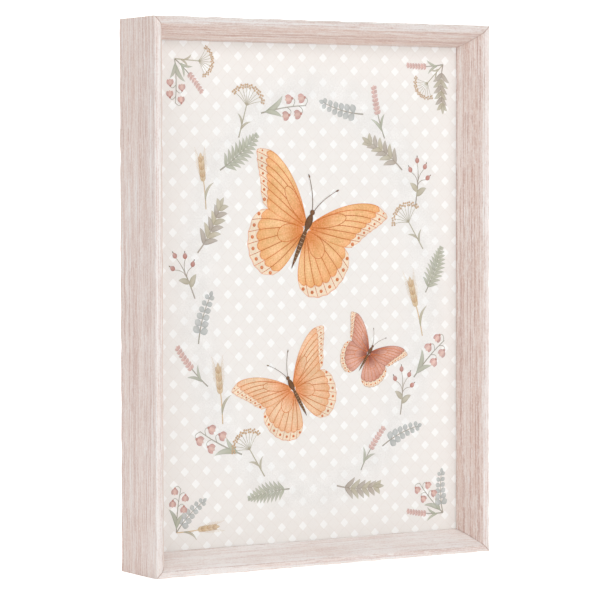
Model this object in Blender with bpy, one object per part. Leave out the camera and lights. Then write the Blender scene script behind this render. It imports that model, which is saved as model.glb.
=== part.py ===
"""A deep box frame in lime-washed timber, holding a printed sheet.

Four mitred mouldings stand round a recess whose inner walls bow in towards the print. The print and its backing
board lie behind the mouldings' lips, held by steel tabs that are driven into the rebate. A sawtooth hanger is
nailed to the back of the top rail. The frame faces -Y and stands on the XY plane.
"""

import math

import bmesh
import bpy
from mathutils import Matrix

# Driving dimensions, in metres
OUTER_WIDTH = 0.326
OUTER_HEIGHT = 0.450
MOULDING_DEPTH = 0.0600
FACE_WIDTH = 0.0058  # flat front face of a moulding
RECESS_DEPTH = 0.0244  # from the front face back to the print
SLOPE_RUN = 0.0125  # how far the inner wall comes in by the time it reaches the print
SLOPE_BULGE = 0.0014  # height of the inner wall's bow over its own chord
REBATE_WIDTH = 0.0048  # shoulder that the print lies behind
EDGE_ROUND = 0.0010  # outer edges, front and back
INNER_EDGE_EASE = 0.0008  # where the front face starts to fall away, before its inner edge
INNER_EDGE_FALL = 0.0002  # how far it has fallen at that edge
FIT_GAP = 0.0003  # between pieces that touch
SLOPE_STEPS = 10
ROUND_STEPS = 4

SHEET_WIDTH = 0.297
SHEET_HEIGHT = 0.420
SHEET_THICKNESS = 0.0004
BOARD_THICKNESS = 0.0030

TAB_WIDTH = 0.0080
TAB_REACH = 0.0115  # over the backing board
TAB_DRIVEN = 0.0080  # inside the timber
TAB_THICKNESS = 0.0005
TAB_POINT = 0.0030  # length of the pointed end in the timber
TAB_CORNER = 0.0020  # cut off the corners of the end over the board
TAB_PLACE = 0.26  # from the middle of its moulding, as a share of the moulding's length

HANGER_LENGTH = 0.048
HANGER_HEIGHT = 0.0090
HANGER_SHEET = 0.0008
HANGER_STANDOFF = 0.0013  # how far the toothed middle stands off the flat ends
HANGER_END = 0.0075  # flat end that a nail goes through
HANGER_BEND = 0.0015
HANGER_DROP = 0.0067  # from the frame's top to the hanger's middle
TOOTH_PITCH = 0.0030
TOOTH_HEIGHT = 0.0015
NAIL_HEAD_RADIUS = 0.0014
NAIL_CROWN_RADIUS = 0.0008  # flat middle of the head
NAIL_HEAD_THICKNESS = 0.0007
NAIL_RIM_THICKNESS = 0.00035  # of the head at its rim
NAIL_SHANK_RADIUS = 0.0007
NAIL_TIP_RADIUS = 0.0002
NAIL_LENGTH = 0.0090
NAIL_POINT = 0.0016
NAIL_SIDES = 16
NAIL_SHARP_ANGLE = 40  # degrees; edges sharper than this are shaded flat

# Worked out from the driving dimensions
LIP_INSET = FACE_WIDTH + SLOPE_RUN
WALL_THICKNESS = LIP_INSET - REBATE_WIDTH
SHEET_DEPTH = RECESS_DEPTH + FIT_GAP
BOARD_DEPTH = SHEET_DEPTH + SHEET_THICKNESS + FIT_GAP
TAB_DEPTH = BOARD_DEPTH + BOARD_THICKNESS + FIT_GAP
HANGER_REACH = FIT_GAP + HANGER_STANDOFF + HANGER_SHEET
NAIL_HEAD_REACH = FIT_GAP + HANGER_SHEET + FIT_GAP + NAIL_HEAD_THICKNESS
TOTAL_DEPTH = MOULDING_DEPTH + max(HANGER_REACH, NAIL_HEAD_REACH)
FRONT_Y = -TOTAL_DEPTH / 2
BACK_Y = FRONT_Y + MOULDING_DEPTH
MITRE_SETBACK = FIT_GAP / 2 * math.sqrt(2)  # half the gap at a mitre, measured along the moulding
SEAT_Z = WALL_THICKNESS + FIT_GAP  # the print and the board stand on the bottom rail's rebate

LIMED_TIMBER = ("limed_timber", (0.68, 0.57, 0.53), 0.62, 0.0)
PRINT_PAPER = ("print_paper", (0.86, 0.84, 0.80), 0.85, 0.0)
HARDBOARD = ("hardboard", (0.36, 0.23, 0.13), 0.75, 0.0)
ZINC_STEEL = ("zinc_steel", (0.60, 0.60, 0.61), 0.38, 1.0)
BRASSED_STEEL = ("brassed_steel", (0.69, 0.53, 0.28), 0.35, 1.0)


def clear_scene():
    for obj in list(bpy.data.objects):
        bpy.data.objects.remove(obj, do_unlink=True)


def material_for(name, colour, roughness, metallic):
    """A plain Principled material, made once and shared by the pieces that use it."""
    found = bpy.data.materials.get(name)
    if found:
        return found
    made = bpy.data.materials.new(name)
    made.use_nodes = True
    shader = made.node_tree.nodes["Principled BSDF"]
    shader.inputs["Base Color"].default_value = (*colour, 1.0)
    shader.inputs["Roughness"].default_value = roughness
    shader.inputs["Metallic"].default_value = metallic
    made.diffuse_color = (*colour, 1.0)
    return made


def object_from(name, bm, finish):
    """Turns a bmesh into a named object with its faces pointing out."""
    bmesh.ops.recalc_face_normals(bm, faces=bm.faces)
    mesh = bpy.data.meshes.new(name)
    bm.to_mesh(mesh)
    bm.free()
    mesh.materials.append(material_for(*finish))
    obj = bpy.data.objects.new(name, mesh)
    bpy.context.scene.collection.objects.link(obj)
    return obj


def between_loops(bm, loops):
    """Skins matching loops of points in turn, and closes the first and the last with a cap."""
    rings = [[bm.verts.new(point) for point in loop] for loop in loops]
    count = len(rings[0])
    for ring, following in zip(rings, rings[1:]):
        for i in range(count):
            j = (i + 1) % count
            bm.faces.new((ring[i], ring[j], following[j], following[i]))
    bm.faces.new(rings[0])
    bm.faces.new(rings[-1])


def slab(bm, low, high):
    """A box between two corners."""
    size = [b - a for a, b in zip(low, high)]
    middle = [(a + b) / 2 for a, b in zip(low, high)]
    place = Matrix.Translation(middle) @ Matrix.Diagonal((*size, 1.0))
    bmesh.ops.create_cube(bm, size=1.0, matrix=place)


def arc(centre, radius, start, end, steps):
    """Points on an arc from one angle to another, in degrees, both ends included."""
    points = []
    for step in range(steps + 1):
        angle = math.radians(start + (end - start) * step / steps)
        points.append((centre[0] + radius * math.cos(angle), centre[1] + radius * math.sin(angle)))
    return points


def bowed_slope():
    """The inner wall: an arc over the chord from the front face's inner edge to the lip, as (inset, depth)."""
    chord = math.hypot(SLOPE_RUN, RECESS_DEPTH)
    radius = (chord * chord / 4 + SLOPE_BULGE * SLOPE_BULGE) / (2 * SLOPE_BULGE)
    half = math.asin(chord / 2 / radius)
    along = (SLOPE_RUN / chord, RECESS_DEPTH / chord)
    outward = (along[1], -along[0])
    points = []
    for step in range(SLOPE_STEPS + 1):
        angle = half * (2 * step / SLOPE_STEPS - 1)
        run = chord / 2 + radius * math.sin(angle)
        rise = radius * (math.cos(angle) - math.cos(half))
        points.append(
            (FACE_WIDTH + along[0] * run + outward[0] * rise, along[1] * run + outward[1] * rise)
        )
    return points


def moulding_profile():
    """The moulding's section as a closed loop of (inset from the outer side, depth from the front face)."""
    back = MOULDING_DEPTH
    slope = bowed_slope()
    # The front face falls away a little before the slope starts, so that its inner edge isn't sharp.
    easing = [(FACE_WIDTH - INNER_EDGE_EASE, 0.0), (FACE_WIDTH, INNER_EDGE_FALL)]
    points = arc((EDGE_ROUND, EDGE_ROUND), EDGE_ROUND, 180, 270, ROUND_STEPS)
    points += easing
    points += slope[1:]
    points += [(WALL_THICKNESS, RECESS_DEPTH), (WALL_THICKNESS, back)]
    points += arc((EDGE_ROUND, back - EDGE_ROUND), EDGE_ROUND, 90, 180, ROUND_STEPS)
    return points


def tab_cutter(bm, along):
    """The slot that a driven tab fills, in a moulding's own frame."""
    half = TAB_WIDTH / 2 + FIT_GAP
    low = (along - half, TAB_DEPTH - FIT_GAP, WALL_THICKNESS - TAB_DRIVEN - FIT_GAP)
    high = (along + half, TAB_DEPTH + TAB_THICKNESS + FIT_GAP, WALL_THICKNESS + REBATE_WIDTH)
    slab(bm, low, high)


def cut(target, cutter_bm, name):
    """Takes a cutter's shape out of a piece, with the cutter in the piece's own frame."""
    cutter = object_from(name, cutter_bm, ZINC_STEEL)
    cutter.hide_render = True
    cutter.display_type = "WIRE"
    cutter.parent = target
    modifier = target.modifiers.new(name, "BOOLEAN")
    modifier.operation = "DIFFERENCE"
    modifier.solver = "EXACT"
    modifier.object = cutter


def moulding(name, length, turn, location):
    """One mitred length. Its own X runs along it, Y runs back, and Z points in towards the print."""
    bm = bmesh.new()
    profile = moulding_profile()
    loops = []
    for side in (-1, 1):
        loops.append(
            [(side * (length / 2 - inset - MITRE_SETBACK), depth, inset) for inset, depth in profile]
        )
    between_loops(bm, loops)
    piece = object_from(name, bm, LIMED_TIMBER)
    piece.location = location
    piece.rotation_euler = (0.0, math.radians(turn), 0.0)
    slots = bmesh.new()
    for side in (-1, 1):
        tab_cutter(slots, side * length * TAB_PLACE)
    cut(piece, slots, name + "_slots")
    return piece


def tab(name, holder, along):
    """A flat steel tab with a pointed end, driven into its moulding and lying over the backing board."""
    half = TAB_WIDTH / 2
    root = WALL_THICKNESS - TAB_DRIVEN
    end = WALL_THICKNESS + TAB_REACH
    outline = [
        (-half, root + TAB_POINT),
        (0.0, root),
        (half, root + TAB_POINT),
        (half, end - TAB_CORNER),
        (half - TAB_CORNER, end),
        (TAB_CORNER - half, end),
        (-half, end - TAB_CORNER),
    ]
    bm = bmesh.new()
    loops = [
        [(x, depth, z) for x, z in outline] for depth in (TAB_DEPTH, TAB_DEPTH + TAB_THICKNESS)
    ]
    between_loops(bm, loops)
    piece = object_from(name, bm, ZINC_STEEL)
    piece.parent = holder
    piece.location = (along, 0.0, 0.0)


def plate(name, thickness, depth, finish):
    """A flat sheet that stands on the bottom rail's rebate, behind the lips."""
    bm = bmesh.new()
    slab(bm, (-SHEET_WIDTH / 2, 0.0, 0.0), (SHEET_WIDTH / 2, thickness, SHEET_HEIGHT))
    piece = object_from(name, bm, finish)
    piece.location = (0.0, FRONT_Y + depth, SEAT_Z)


def hanger_stations():
    """Places along the hanger, each as (x, how far the sheet stands off, how far its lower edge is cut up)."""
    half = HANGER_LENGTH / 2
    flat = half - HANGER_END
    raised = flat - HANGER_BEND
    teeth = round(2 * raised / TOOTH_PITCH)
    first = -teeth * TOOTH_PITCH / 2
    stations = [(-half, 0.0, 0.0), (-flat, 0.0, 0.0), (-raised, HANGER_STANDOFF, 0.0)]
    for step in range(2 * teeth + 1):
        notch = TOOTH_HEIGHT if step % 2 else 0.0
        stations.append((first + step * TOOTH_PITCH / 2, HANGER_STANDOFF, notch))
    stations += [(raised, HANGER_STANDOFF, 0.0), (flat, 0.0, 0.0), (half, 0.0, 0.0)]
    spaced = stations[:1]
    for station in stations[1:]:
        if station[0] > spaced[-1][0] + FIT_GAP / 10:  # leaves out a station that is there already
            spaced.append(station)
    return spaced


def hanger():
    """The toothed plate, flat at its ends and stood off in the middle so that a nail's head goes behind it."""
    bm = bmesh.new()
    top, bottom = HANGER_HEIGHT / 2, -HANGER_HEIGHT / 2
    loops = []
    for x, off, notch in hanger_stations():
        near, far = off, off + HANGER_SHEET
        loops.append(
            [(x, near, top), (x, far, top), (x, far, bottom + notch), (x, near, bottom + notch)]
        )
    between_loops(bm, loops)
    piece = object_from("hanger_plate", bm, BRASSED_STEEL)
    piece.location = (0.0, BACK_Y + FIT_GAP, OUTER_HEIGHT - HANGER_DROP)
    holes = bmesh.new()
    for side in (-1, 1):
        hole = nail_hole_matrix(side * nail_offset(), 0.0)
        bmesh.ops.create_cone(
            holes,
            cap_ends=True,
            segments=NAIL_SIDES,
            radius1=NAIL_SHANK_RADIUS + FIT_GAP,
            radius2=NAIL_SHANK_RADIUS + FIT_GAP,
            depth=NAIL_LENGTH,
            matrix=hole,
        )
    cut(piece, holes, "hanger_plate_holes")


def nail_offset():
    """How far a hanger nail stands from the middle of the frame."""
    return HANGER_LENGTH / 2 - HANGER_END / 2


def nail_hole_matrix(x, z):
    """Places an upright cone or cylinder so that its axis runs along Y."""
    return Matrix.Translation((x, 0.0, z)) @ Matrix.Rotation(math.radians(90), 4, "X")


def hanger_nail(name, x):
    """A small round-headed nail, turned about Y. Its head lies behind the plate."""
    head = FIT_GAP + HANGER_SHEET + FIT_GAP
    tip = head - NAIL_LENGTH
    profile = [
        (NAIL_CROWN_RADIUS, head + NAIL_HEAD_THICKNESS),
        (NAIL_HEAD_RADIUS, head + NAIL_RIM_THICKNESS),
        (NAIL_HEAD_RADIUS, head),
        (NAIL_SHANK_RADIUS, head),
        (NAIL_SHANK_RADIUS, tip + NAIL_POINT),
        (NAIL_TIP_RADIUS, tip),
    ]
    bm = bmesh.new()
    loops = []
    for radius, y in profile:
        loops.append([(a, y, b) for a, b in arc((0.0, 0.0), radius, 0, 360, NAIL_SIDES)[:-1]])
    between_loops(bm, loops)
    piece = object_from(name, bm, BRASSED_STEEL)
    piece.location = (x, BACK_Y, OUTER_HEIGHT - HANGER_DROP)
    piece.data.shade_smooth()
    piece.data.set_sharp_from_angle(angle=math.radians(NAIL_SHARP_ANGLE))


def drill_rail(rail):
    """The two nail holes in the back of the top rail, in the rail's own frame, which is upside down."""
    holes = bmesh.new()
    for side in (-1, 1):
        place = Matrix.Translation((0.0, MOULDING_DEPTH, 0.0))
        bmesh.ops.create_cone(
            holes,
            cap_ends=True,
            segments=NAIL_SIDES,
            radius1=NAIL_SHANK_RADIUS + FIT_GAP,
            radius2=NAIL_SHANK_RADIUS + FIT_GAP,
            depth=2 * NAIL_LENGTH,
            matrix=place @ nail_hole_matrix(side * nail_offset(), HANGER_DROP),
        )
    cut(rail, holes, "rail_top_nail_holes")


def build():
    """The whole frame, with each pair of tabs in its own moulding."""
    clear_scene()
    middle = OUTER_HEIGHT / 2
    members = {
        "bottom": moulding("rail_bottom", OUTER_WIDTH, 0, (0.0, FRONT_Y, 0.0)),
        "top": moulding("rail_top", OUTER_WIDTH, 180, (0.0, FRONT_Y, OUTER_HEIGHT)),
        "left": moulding("stile_left", OUTER_HEIGHT, 90, (-OUTER_WIDTH / 2, FRONT_Y, middle)),
        "right": moulding("stile_right", OUTER_HEIGHT, -90, (OUTER_WIDTH / 2, FRONT_Y, middle)),
    }
    lengths = {"bottom": OUTER_WIDTH, "top": OUTER_WIDTH, "left": OUTER_HEIGHT, "right": OUTER_HEIGHT}
    for side, member in members.items():
        for number, direction in ((1, -1), (2, 1)):
            tab(f"tab_{side}_{number}", member, direction * lengths[side] * TAB_PLACE)
    drill_rail(members["top"])
    plate("print_sheet", SHEET_THICKNESS, SHEET_DEPTH, PRINT_PAPER)
    plate("backing_board", BOARD_THICKNESS, BOARD_DEPTH, HARDBOARD)
    hanger()
    hanger_nail("hanger_nail_left", -nail_offset())
    hanger_nail("hanger_nail_right", nail_offset())


build()
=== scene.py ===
"""Looks of the box-framed art print: limed timber, a watercolour print, its board and its fittings."""

import logging
import math
from dataclasses import dataclass, field
from enum import Enum
from functools import partial

import bpy
import numpy as np
from bpy.types import Material, Node, NodeSocket, NodeTree, Object
from mathutils import Matrix, Vector


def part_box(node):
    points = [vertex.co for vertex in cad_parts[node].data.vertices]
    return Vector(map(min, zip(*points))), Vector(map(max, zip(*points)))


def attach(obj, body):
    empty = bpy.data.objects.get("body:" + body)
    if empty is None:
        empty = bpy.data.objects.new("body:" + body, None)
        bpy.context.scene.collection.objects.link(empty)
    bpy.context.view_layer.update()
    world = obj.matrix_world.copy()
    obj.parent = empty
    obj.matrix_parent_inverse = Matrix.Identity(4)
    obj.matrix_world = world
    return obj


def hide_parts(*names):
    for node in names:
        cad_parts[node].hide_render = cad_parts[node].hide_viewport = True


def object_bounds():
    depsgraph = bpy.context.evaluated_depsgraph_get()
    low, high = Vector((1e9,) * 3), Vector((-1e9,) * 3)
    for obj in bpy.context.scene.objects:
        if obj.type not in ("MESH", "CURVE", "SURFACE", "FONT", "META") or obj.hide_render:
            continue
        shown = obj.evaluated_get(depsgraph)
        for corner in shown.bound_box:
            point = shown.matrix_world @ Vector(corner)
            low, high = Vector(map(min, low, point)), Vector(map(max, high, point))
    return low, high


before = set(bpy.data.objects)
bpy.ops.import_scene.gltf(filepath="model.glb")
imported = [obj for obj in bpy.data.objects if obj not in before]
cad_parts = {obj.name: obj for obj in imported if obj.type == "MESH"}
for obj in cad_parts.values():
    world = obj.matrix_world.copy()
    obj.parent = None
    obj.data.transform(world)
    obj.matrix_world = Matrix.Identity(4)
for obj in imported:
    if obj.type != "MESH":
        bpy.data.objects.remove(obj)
CAD_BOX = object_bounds()

MM = 0.001
CAD_LOW, CAD_HIGH = Vector(CAD_BOX[0]), Vector(CAD_BOX[1])
LOG = logging.getLogger("box_frame")

# Inputs that go by number: a colour mix's share and colours, and a range's ends before and after
SHARE, UNDER, OVER = 0, 6, 7
LOW, HIGH, TO_LOW, TO_HIGH = 1, 2, 3, 4


def linear(code: str) -> tuple[float, float, float, float]:
    """Turns an sRGB hex colour to linear light.

    Args:
        code: The colour, with its hash.

    Returns:
        Linear red, green and blue, with a full alpha.
    """
    shares = [int(code[i : i + 2], 16) / 255 for i in (1, 3, 5)]
    turned = [c / 12.92 if c <= 0.04045 else ((c + 0.055) / 1.055) ** 2.4 for c in shares]
    return (*turned, 1.0)


def feed(tree: NodeTree, node: Node, links: dict) -> None:
    """Gives a node's inputs what they hold.

    Args:
        tree: The material's nodes.
        node: The node to feed.
        links: Input name or number to a plain value, an output socket, or a node, which stands for its first
            output in use.
    """
    for name, value in links.items():
        if isinstance(value, Node):
            value = next(socket for socket in value.outputs if socket.enabled)
        if isinstance(value, NodeSocket):
            tree.links.new(value, node.inputs[name])
        else:
            node.inputs[name].default_value = value


def add_node(tree: NodeTree, kind: str, links: dict | None = None, **settings: object) -> Node:
    """Adds one node, with its settings and what its inputs hold.

    Args:
        tree: The material's nodes.
        kind: Blender's name for the node's class, less its "ShaderNode" prefix.
        links: What its inputs hold, as feed takes it.
        settings: The node's own properties.

    Returns:
        The new node.
    """
    node = tree.nodes.new("ShaderNode" + kind)
    for name, value in settings.items():
        setattr(node, name, value)
    feed(tree, node, links or {})
    return node


def blank_material(name: str) -> tuple[Material, NodeTree, Node]:
    """Makes a material of only a Principled shader.

    Args:
        name: The material's name.

    Returns:
        The material, its nodes and its shader.
    """
    material = bpy.data.materials.new(name)
    material.use_nodes = True
    tree = material.node_tree
    return material, tree, tree.nodes["Principled BSDF"]


def mesh_from(name: str, points: np.ndarray, quads: np.ndarray, caps: tuple[np.ndarray, ...] = ()) -> Object:
    """Puts whole arrays into a new mesh object at the origin.

    Args:
        name: The object's name.
        points: Corners, as (n, 3) in metres.
        quads: Four corner numbers a face, as (m, 4).
        caps: Further faces of any number of corners.

    Returns:
        The object, linked to the scene and shaded smooth.
    """
    mesh = bpy.data.meshes.new(name)
    corners = np.concatenate([quads.ravel(), *caps]).astype(np.int32)
    sizes = np.array([4] * len(quads) + [len(cap) for cap in caps])
    starts = np.concatenate([[0], np.cumsum(sizes)[:-1]]).astype(np.int32)
    mesh.vertices.add(len(points))
    mesh.vertices.foreach_set("co", points.astype(np.float32).ravel())
    mesh.loops.add(len(corners))
    mesh.loops.foreach_set("vertex_index", corners)
    mesh.polygons.add(len(sizes))
    mesh.polygons.foreach_set("loop_start", starts)
    mesh.update(calc_edges=True)
    mesh.validate()
    mesh.shade_smooth()
    obj = bpy.data.objects.new(name, mesh)
    bpy.context.scene.collection.objects.link(obj)
    return obj


def grid_quads(rows: int, columns: int, closed: bool = False) -> np.ndarray:
    """Joins a grid of points by faces of four corners.

    Args:
        rows: Points down the grid.
        columns: Points across it.
        closed: Whether its last column joins its first.

    Returns:
        Each face's corner numbers, as (n, 4).
    """
    spans = columns if closed else columns - 1
    i, j = np.meshgrid(np.arange(rows - 1), np.arange(spans), indexing="ij")
    right = (j + 1) % columns
    corners = (i * columns + j, i * columns + right, (i + 1) * columns + right, (i + 1) * columns + j)
    return np.stack(corners, -1).reshape(-1, 4)


def set_attribute(obj: Object, name: str, values: np.ndarray) -> None:
    """Stores a value for each point of a mesh.

    Args:
        obj: The mesh object.
        name: The attribute's name.
        values: Numbers as (n,), or linear colours with alpha as (n, 4).
    """
    colour = values.ndim == 2
    layer = obj.data.attributes.new(name, "FLOAT_COLOR" if colour else "FLOAT", "POINT")
    layer.data.foreach_set("color" if colour else "value", values.astype(np.float32).ravel())


def set_bake_map(obj: Object, places: np.ndarray) -> None:
    """Gives a mesh the map that its finish is baked on: a place from 0 to 1 for each corner of each face."""
    layer = obj.data.uv_layers.new(name="OFBake")
    layer.data.foreach_set("uv", places.astype(np.float32).ravel())


def smooth_step(values: np.ndarray, low: float, high: float) -> np.ndarray:
    """Rises from 0 at low to 1 at high, with flat ends: 3t squared less 2t cubed."""
    t = np.clip((values - low) / (high - low), 0, 1)
    return t * t * (3 - 2 * t)


def bell(away: np.ndarray, half: float) -> np.ndarray:
    """A bell curve, 1 in its middle: e to the power of minus the square of away / half."""
    return np.exp(-((away / half) ** 2))


def bezier(points: tuple[tuple[float, float], ...], t: np.ndarray) -> np.ndarray:
    """Points on a Bezier curve: its control points' sum, each times its Bernstein polynomial of t.

    Args:
        points: The control points.
        t: Places along the curve, from 0 to 1.

    Returns:
        The points, as (n, 2).
    """
    degree = len(points) - 1
    k = np.arange(degree + 1)
    choose = np.array([math.comb(degree, i) for i in k])
    weights = choose * t[:, None] ** k * (1 - t[:, None]) ** (degree - k)
    return weights @ np.array(points, float)


class Along(Enum):
    """Which way a timber member's grain runs."""

    ACROSS = 0
    UP = 2


@dataclass(frozen=True)
class Streak:
    """One size of streak in the grain: how wide, long and fine its noise is, and where the noise starts."""

    width_mm: float
    length_mm: float
    detail: float
    start: float


@dataclass(frozen=True)
class LimedTimber:
    """Sawn and brushed softwood under a thin white lime wash: matt, pinkish beige, with long pale and rosy
    streaks where the wash has stayed in the grain or been wiped off it."""

    wood: str = "#EAD9D1"
    rosy: str = "#DFC2B5"
    wiped: str = "#F6EEEA"
    grain: str = "#BE8F80"
    lime: str = "#F8F5F3"
    seam: str = "#A87865"
    bands: Streak = Streak(4.2, 150.0, 2.0, 0.0)
    streaks: Streak = Streak(1.6, 42.0, 4.0, 3.1)
    lines: Streak = Streak(1.5, 260.0, 1.0, 7.7)
    hairs: Streak = Streak(0.7, 26.0, 2.0, 5.3)
    specks: Streak = Streak(0.7, 10.4, 2.0, 9.1)
    grit: Streak = Streak(1.0, 1.6, 2.0, 2.3)
    scatter: tuple[float, ...] = (1.0, 1.7, 0.6)
    line_least: float = 0.30
    line_bare: float = 0.36
    roughness: float = 0.66
    relief: float = 0.25 * MM

    def noise(self, tree: NodeTree, along: Along, shift: float, streak: Streak) -> Node:
        """Noise drawn out along the grain, so that every face shows the same growth lines cut its own way.

        Args:
            tree: The material's nodes.
            along: The way the grain runs.
            shift: Moves the pattern, so that no two members match.
            streak: The streaks' size.

        Returns:
            The noise, from 0 to 1.
        """
        add = partial(add_node, tree)
        scale = [1 / (streak.width_mm * MM)] * 3
        scale[along.value] = 1 / (streak.length_mm * MM)
        start = [(shift + streak.start) * share for share in self.scatter]
        place = add("TexCoord").outputs["Object"]
        turned = add("Mapping", {"Vector": place, "Location": start, "Scale": scale})
        look = {"Scale": 1.0, "Detail": streak.detail, "Roughness": 0.55, "Distortion": 0.06}
        return add("TexNoise", {"Vector": turned, **look})

    def material(self, name: str, along: Along, shift: float, tone: float) -> Material:
        """Builds the timber for one member, from the wood up, each layer laid over those before it.

        Args:
            name: The material's name.
            along: The way the grain runs.
            shift: Moves the pattern, so that no two members match.
            tone: How dark this board is as a share of the others. Below 1 it is painted shade, darker and
                pinker all over.

        Returns:
            The material.
        """
        material, tree, shader = blank_material(name)
        add = partial(add_node, tree)
        sizes = (self.bands, self.streaks, self.lines, self.hairs, self.specks, self.grit)
        band, streak, line, hair, speck, grit = (self.noise(tree, along, shift, size) for size in sizes)
        lime, seam, worn, bare = (
            add("Attribute", attribute_name=coat).outputs["Fac"] for coat in ("lime", "seam", "worn", "bare")
        )
        drawn = add("Math", {0: bare, 1: self.line_bare, 2: self.line_least}, operation="MULTIPLY_ADD")
        # What decides a layer's place, where it starts and is full, its colour, and its share where full
        layers = (
            (band, 0.42, 0.64, self.rosy, 0.50),
            (streak, 0.50, 0.68, self.wiped, 0.52),
            # The lime attribute also carries painted light on the front faces and on the bottom rail's inner
            # wall
            (lime, 0.0, 1.0, self.lime, 0.80),
            (line, 0.56, 0.63, self.grain, drawn),
            (hair, 0.56, 0.68, self.grain, drawn),
            # The worn attribute also carries painted shade where the inner wall meets the print
            (worn, 0.0, 1.0, self.seam, 0.75),
            (seam, 0.0, 1.0, self.seam, 0.80),
            (speck, 0.54, 0.68, self.lime, 0.60),
            (grit, 0.50, 0.68, self.lime, 0.32),
            (grit, 0.48, 0.32, self.grain, 0.16),
        )
        colour = linear(self.wood)
        for source, low, high, tint, most in layers:
            ends = {"Value": source, LOW: low, HIGH: high, TO_LOW: 0.0, TO_HIGH: most}
            share = add("MapRange", ends, interpolation_type="SMOOTHSTEP")
            colour = add("Mix", {SHARE: share, UNDER: colour, OVER: linear(tint)}, data_type="RGBA")
        # Painted shade: a tone below 1 darkens the board and deepens its pink
        toned = add("HueSaturation", {"Value": tone, "Saturation": 2 - tone, "Color": colour})
        height = add("Math", {0: streak, 1: hair}, operation="ADD")
        bump = add("Bump", {"Height": height, "Strength": 0.35, "Distance": self.relief})
        surface = {"Roughness": self.roughness, "Specular IOR Level": 0.3, "Normal": bump}
        feed(tree, shader, {"Base Color": toned, **surface})
        return material


@dataclass(frozen=True)
class TrellisGround:
    """The print's printed ground: wide pale bands cross on both diagonals and leave small white diamonds."""

    band: str = "#F3EFEB"
    diamond: str = "#FEFDFB"
    edge: str = "#ECE5DF"
    edge_strength: float = 0.7
    pitch_mm: float = 20.5
    open_share: float = 0.195
    edge_share: float = 0.012

    def colour(self, tree: NodeTree) -> Node:
        """Works the ground's colour out from the place on the sheet.

        The distances to the nearest diagonal lines are in pitches. A point is in a diamond where the larger
        of the two is under open_share, and on a band's edge where either is close to it.

        Args:
            tree: The material's nodes.

        Returns:
            The ground's colour.
        """
        add = partial(add_node, tree)
        place = add("TexCoord").outputs["Object"]
        axes = add("SeparateXYZ", {0: place}).outputs
        per_pitch = 1 / (self.pitch_mm * MM)
        x, z = (add("Math", {0: axes[i], 1: per_pitch}, operation="MULTIPLY") for i in ("X", "Z"))
        diagonals = [add("Math", {0: x, 1: z}, operation=way) for way in ("ADD", "SUBTRACT")]
        away = [add("Math", {0: line, 1: 0.5}, operation="PINGPONG") for line in diagonals]
        larger = add("Math", {0: away[0], 1: away[1]}, operation="MAXIMUM")
        colour = linear(self.band)
        for distance in away:
            past = add("Math", {0: distance, 1: self.open_share}, operation="SUBTRACT")
            near = add("Math", {0: past}, operation="ABSOLUTE")
            ends = {LOW: 0.0, HIGH: self.edge_share * 2, TO_LOW: self.edge_strength, TO_HIGH: 0.0}
            line = add("MapRange", {"Value": near, **ends})
            colour = add("Mix", {SHARE: line, UNDER: colour, OVER: linear(self.edge)}, data_type="RGBA")
        ends = {LOW: self.open_share - self.edge_share, HIGH: self.open_share + self.edge_share}
        inside = add("MapRange", {"Value": larger, **ends, TO_LOW: 1.0, TO_HIGH: 0.0})
        return add("Mix", {SHARE: inside, UNDER: colour, OVER: linear(self.diamond)}, data_type="RGBA")


@dataclass(frozen=True)
class PrintPaper:
    """Heavy uncoated paper: quite matt, with a fine tooth that shows only close to."""

    ground: TrellisGround = field(default_factory=TrellisGround)
    tooth_mm: float = 0.6
    tooth_depth: float = 0.05 * MM
    roughness: float = 0.9

    def finish(self, tree: NodeTree, shader: Node, colour: Node) -> None:
        """Gives a shader its colour and the paper's roughness and tooth.

        Args:
            tree: The material's nodes.
            shader: Its Principled shader.
            colour: What is printed.
        """
        add = partial(add_node, tree)
        place = add("TexCoord").outputs["Object"]
        tooth = add("TexNoise", {"Vector": place, "Scale": 1 / (self.tooth_mm * MM), "Detail": 3.0})
        bump = add("Bump", {"Height": tooth, "Strength": 0.12, "Distance": self.tooth_depth})
        surface = {"Roughness": self.roughness, "Specular IOR Level": 0.15, "Normal": bump}
        feed(tree, shader, {"Base Color": colour, **surface})

    def material(self) -> Material:
        """Builds the bare sheet with its printed ground.

        Returns:
            The material.
        """
        material, tree, shader = blank_material("print_paper")
        self.finish(tree, shader, self.ground.colour(tree))
        return material


@dataclass(frozen=True)
class Mottle:
    """One size of mottling in a wash, and the least and most that it makes of the strength and the shade."""

    size_mm: float
    strength: tuple[float, float]
    shade: tuple[float, float]


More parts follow.
